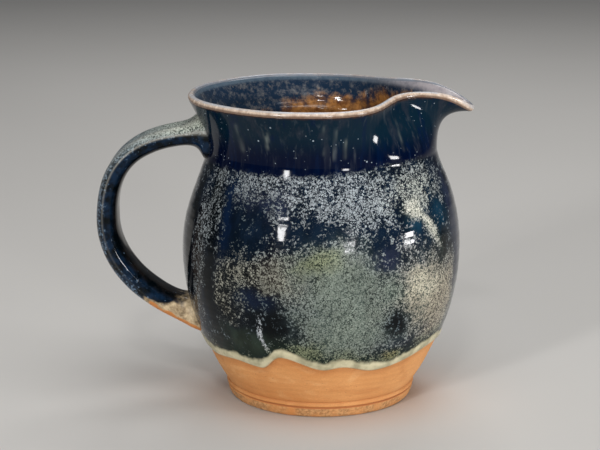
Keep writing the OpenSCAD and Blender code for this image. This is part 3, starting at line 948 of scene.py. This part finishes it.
def handle_pieces(material, clay):
    """The strap's glaze with its marks, and the clay core under it."""
    rows, through, sideways, start, finish = handle_rows()
    rows = keep_outside(rows, 0.6)
    wobble = soft_noise(rows, 16, 91)[..., None] * 0.25 + soft_noise(rows, 5, 95)[..., None] * 0.06
    middle = rows.mean(1, keepdims=True)
    outward = rows - middle
    outward /= np.linalg.norm(outward, axis=-1, keepdims=True)
    rows = rows + outward * (wobble - 0.15)
    face = np.clip(through, 0, 1) * np.ones_like(rows[..., 0])
    start, finish = start[:, None], finish[:, None]
    shape = rows.shape[:2]
    ridge = np.exp(-((np.abs(sideways) - 0.75) / 0.16) ** 2) * np.ones(shape)
    near_root = np.exp(-(start / 42) ** 2)
    cover = 0.12 + 0.42 * face ** 0.5 * (0.5 + 0.5 * ridge) + 0.9 * smoothstep(0.1, 0.5, face) * near_root
    cover = np.clip(np.where(through < -0.4, 0.12, cover + 0.12), 0, 1)
    frost = (near_root * smoothstep(0.0, 0.6, face))[..., None]
    grain = srgb(86, 107, 128) + (srgb(190, 196, 182) - srgb(86, 107, 128)) * frost
    inner = smoothstep(-0.45, -0.85, through * np.ones(shape))[..., None]
    ground = srgb(16, 36, 58) + (srgb(30, 26, 24) - srgb(16, 36, 58)) * inner
    ground = ground + (srgb(92, 106, 98) - ground) * frost
    reach = 17 + 15 * np.clip(through + 0.6, 0, 1)
    bare = smoothstep(reach + 7, reach - 7, finish) * (0.75 + 0.6 * smoothstep(0.15, 0.6, through))
    # Painted highlight along the strap's near ridge and its arris, fading away from the neck.
    arris_highlight = 0.7 * np.exp(-((through - 0.28) / 0.09) ** 2) * np.exp(-(start / 75) ** 2)
    wear_and_highlight = np.clip(0.45 * ridge * face * np.exp(-(start / 90) ** 2) + arris_highlight, 0, 1)
    marks = {
        "cover": cover,
        "grain": grain,
        "ground": ground,
        "bare": bare,
        "ridge_highlight": wear_and_highlight,
    }
    coat = skin("handle_coat", rows, False, marks)
    add_piece(coat, material, "handle_glaze", "handle_glaze")
    core = keep_outside(handle_rows(0.8, 60, 40)[0], 1.6)
    plain = np.zeros(core.shape[:2])
    core = skin("handle_clay", core, False, {"wear_and_highlight": plain, "shade_and_dark_band": plain})
    return add_piece(core, clay, "bare_clay", "handle")


# ---------------------------------------------------------------- light, floor and camera

# In metres and degrees.
AIM = Vector((0, 0, 0.09))
CAMERA_PLACE = Vector((0, -0.9132, 0.3078))
CAMERA_ANGLES = (0.71, 13.29, 0.16)
CAMERA_LENS = 104.5


def area_light(name, azimuth, elevation, distance, size, power, spread=180):
    """A softbox. azimuth 0 is towards the camera and +90 towards the spout's side. A spread under 180
    degrees keeps its light off the floor next to it, and leaves the pitcher as bright."""
    data = bpy.data.lights.new(name, "AREA")
    data.shape = "RECTANGLE"
    data.size, data.size_y = size
    half = math.radians(spread / 2)
    data.spread = 2 * half
    data.energy = power * (1 - half / math.tan(half))
    lamp = bpy.data.objects.new(name, data)
    bpy.context.scene.collection.objects.link(lamp)
    az, el = math.radians(azimuth), math.radians(elevation)
    way = Vector((math.sin(az) * math.cos(el), -math.cos(az) * math.cos(el), math.sin(el)))
    lamp.location = AIM + way * distance
    lamp.rotation_euler = way.to_track_quat("Z", "Y").to_euler()
    return lamp


def add_floor():
    """A plain pale floor."""
    n = Nodes("pale_floor")
    tone = n.mix(n.noise(3, detail=3, seed=5), (0.62, 0.60, 0.57), (0.66, 0.64, 0.61))
    rough = n.ramp(n.noise(9, seed=6), 0, 1, 0.75, 0.85)
    material = n.finish(tone, rough, Specular_IOR_Level=0.15)
    mesh = bpy.data.meshes.new("floor")
    reach = 6.0
    mesh.from_pydata([(-reach, -reach, 0), (reach, -reach, 0), (reach, reach, 0), (-reach, reach, 0)], [],
                     [(0, 1, 2, 3)])
    mesh.materials.append(material)
    floor = bpy.data.objects.new("floor", mesh)
    bpy.context.scene.collection.objects.link(floor)


def add_lights():
    """Each lamp has a name, azimuth, elevation, distance, (width, height), power and spread."""
    area_light("key_left", -34, 15, 2.7, (0.23, 0.54), 32, 70)
    area_light("front_right", 23, 5, 2.9, (0.31, 0.47), 32, 70)
    area_light("side_right", 76, 3, 2.5, (0.43, 0.23), 29, 70)
    area_light("front_high", -6, 40, 1.6, (0.14, 0.07), 2.5, 70)
    area_light("overhead", 25, 74, 1.5, (1.2, 1.0), 11)
    area_light("behind", 172, 52, 1.9, (1.0, 0.6), 9)
    world = bpy.data.worlds.new("studio")
    world.use_nodes = True
    background = world.node_tree.nodes["Background"]
    background.inputs["Color"].default_value = (0.80, 0.84, 0.90, 1)
    background.inputs["Strength"].default_value = 0.10
    bpy.context.scene.world = world


def add_camera():
    """A camera at CAMERA_PLACE, turned, tilted down and rolled by CAMERA_ANGLES in degrees."""
    data = bpy.data.cameras.new("camera")
    data.sensor_width = 36
    data.lens = CAMERA_LENS
    camera = bpy.data.objects.new("camera", data)
    bpy.context.scene.collection.objects.link(camera)
    turn, down, roll = (math.radians(angle) for angle in CAMERA_ANGLES)
    aimed = Matrix.Rotation(turn, 4, "Z") @ Matrix.Rotation(math.pi / 2 - down, 4, "X")
    camera.matrix_world = Matrix.Translation(CAMERA_PLACE) @ aimed @ Matrix.Rotation(roll, 4, "Z")
    bpy.context.scene.camera = camera


# ---------------------------------------------------------------- assembly

def build():
    """Makes every piece, the floor, the lights and the camera."""
    clay = clay_material()
    foot_piece(clay)
    clay_wall_piece(clay)
    neck_clay_piece(lip_material())
    belly_coat_piece(coat_material("speckled_glaze", GLOSS))
    neck_coat_piece(coat_material("cobalt_glaze", 0.7 * GLOSS))
    liner_piece(liner_material())
    handle_pieces(handle_material(), clay)
    slip = slip_material()
    for node in ("upper_joint", "lower_joint"):
        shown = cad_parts[node]
        for index in range(len(shown.data.materials)):
            shown.material_slots[index].material = slip
    add_floor()
    add_lights()
    add_camera()
    bpy.context.scene.view_settings.view_transform = "Standard"


build()
